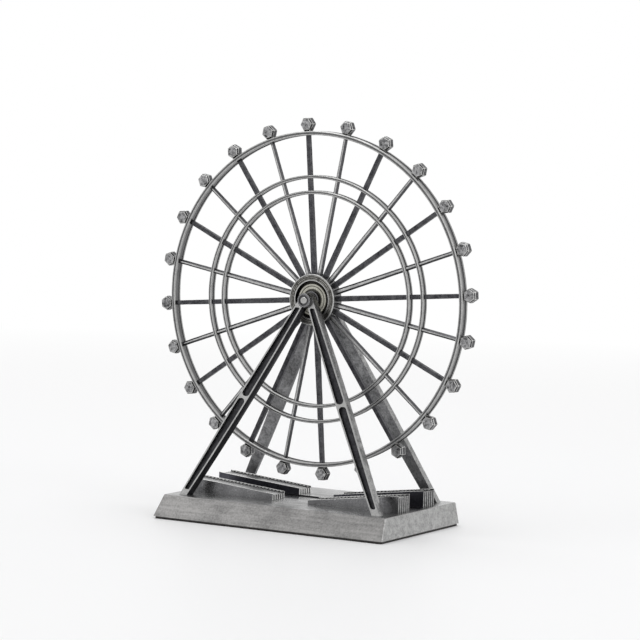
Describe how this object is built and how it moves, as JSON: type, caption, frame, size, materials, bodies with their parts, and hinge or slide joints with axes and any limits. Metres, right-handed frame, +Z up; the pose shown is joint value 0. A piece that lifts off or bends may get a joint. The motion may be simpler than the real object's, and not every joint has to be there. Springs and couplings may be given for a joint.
{
  "type": "hand spun ferris wheel model",
  "caption": "Desk model of a giant observation wheel: a spoked metal wheel with faceted pods spins by hand between two leaning A-frames on a sloping plinth.",
  "frame": {"origin": "middle of the underside of the pad under the plinth", "axes": "+X along the plinth, to the right seen from the front; -Y is the front; +Z up; the wheel's axle lies along Y"},
  "size_m": [0.1338, 0.06, 0.1496],
  "materials": {
    "plinth_pewter": "antique pewter plate, brushed satin",
    "plate_lacquer": "dark brown lacquer",
    "pad_foam": "matt dark foam rubber",
    "screw_steel": "zinc plated",
    "frame_pewter": "antique pewter plate, bright edges, dark pockets",
    "terrace_pewter": "antique pewter plate, bright raised edges",
    "axle_steel": "turned steel",
    "nut_steel": "blackened spring steel",
    "hub_pewter": "antique pewter plate",
    "bush_plastic": "natural cream bearing plastic",
    "ring_pewter": "antique pewter plate",
    "flat_spoke_pewter": "dark antique pewter plate",
    "bevelled_spoke_pewter": "antique pewter plate, bright bevels",
    "pod_pewter": "antique pewter plate, worn facet edges"
  },
  "bodies": {
    "stand": {"base_plinth": "plinth_pewter", "bottom_plate": "plate_lacquer", "base_pad": "pad_foam", "plate_screws": "screw_steel", "frame_screws": "screw_steel", "front_a_frame": "frame_pewter", "rear_a_frame": "frame_pewter", "front_left_terrace": "terrace_pewter", "rear_left_terrace": "terrace_pewter", "front_right_terrace": "terrace_pewter", "rear_right_terrace": "terrace_pewter", "axle_pin": "axle_steel", "axle_push_nuts": "nut_steel", "front_spacer": "axle_steel", "rear_spacer": "axle_steel"},
    "wheel": {"hub_drum": "hub_pewter", "front_bush": "bush_plastic", "rear_bush": "bush_plastic", "outer_rim": "ring_pewter", "middle_ring": "ring_pewter", "inner_ring": "ring_pewter", "flat_spoke_pair_1": "flat_spoke_pewter", "flat_spoke_pair_2": "flat_spoke_pewter", "flat_spoke_pair_3": "flat_spoke_pewter", "flat_spoke_pair_4": "flat_spoke_pewter", "flat_spoke_pair_5": "flat_spoke_pewter", "flat_spoke_pair_6": "flat_spoke_pewter", "bevelled_spoke_pair_1": "bevelled_spoke_pewter", "bevelled_spoke_pair_2": "bevelled_spoke_pewter", "bevelled_spoke_pair_3": "bevelled_spoke_pewter", "bevelled_spoke_pair_4": "bevelled_spoke_pewter", "bevelled_spoke_pair_5": "bevelled_spoke_pewter", "bevelled_spoke_pair_6": "bevelled_spoke_pewter", "pod_01": "pod_pewter", "pod_02": "pod_pewter", "pod_03": "pod_pewter", "pod_04": "pod_pewter", "pod_05": "pod_pewter", "pod_06": "pod_pewter", "pod_07": "pod_pewter", "pod_08": "pod_pewter", "pod_09": "pod_pewter", "pod_10": "pod_pewter", "pod_11": "pod_pewter", "pod_12": "pod_pewter", "pod_13": "pod_pewter", "pod_14": "pod_pewter", "pod_15": "pod_pewter", "pod_16": "pod_pewter", "pod_17": "pod_pewter", "pod_18": "pod_pewter", "pod_19": "pod_pewter", "pod_20": "pod_pewter", "pod_21": "pod_pewter", "pod_22": "pod_pewter", "pod_23": "pod_pewter", "pod_24": "pod_pewter"}
  },
  "joints": [
    {"name": "wheel_spin", "type": "hinge", "parent": "stand", "child": "wheel", "pos_m": [0, 0.00225, 0.0827], "axis": [0, 1, 0], "continuous": true}
  ]
}
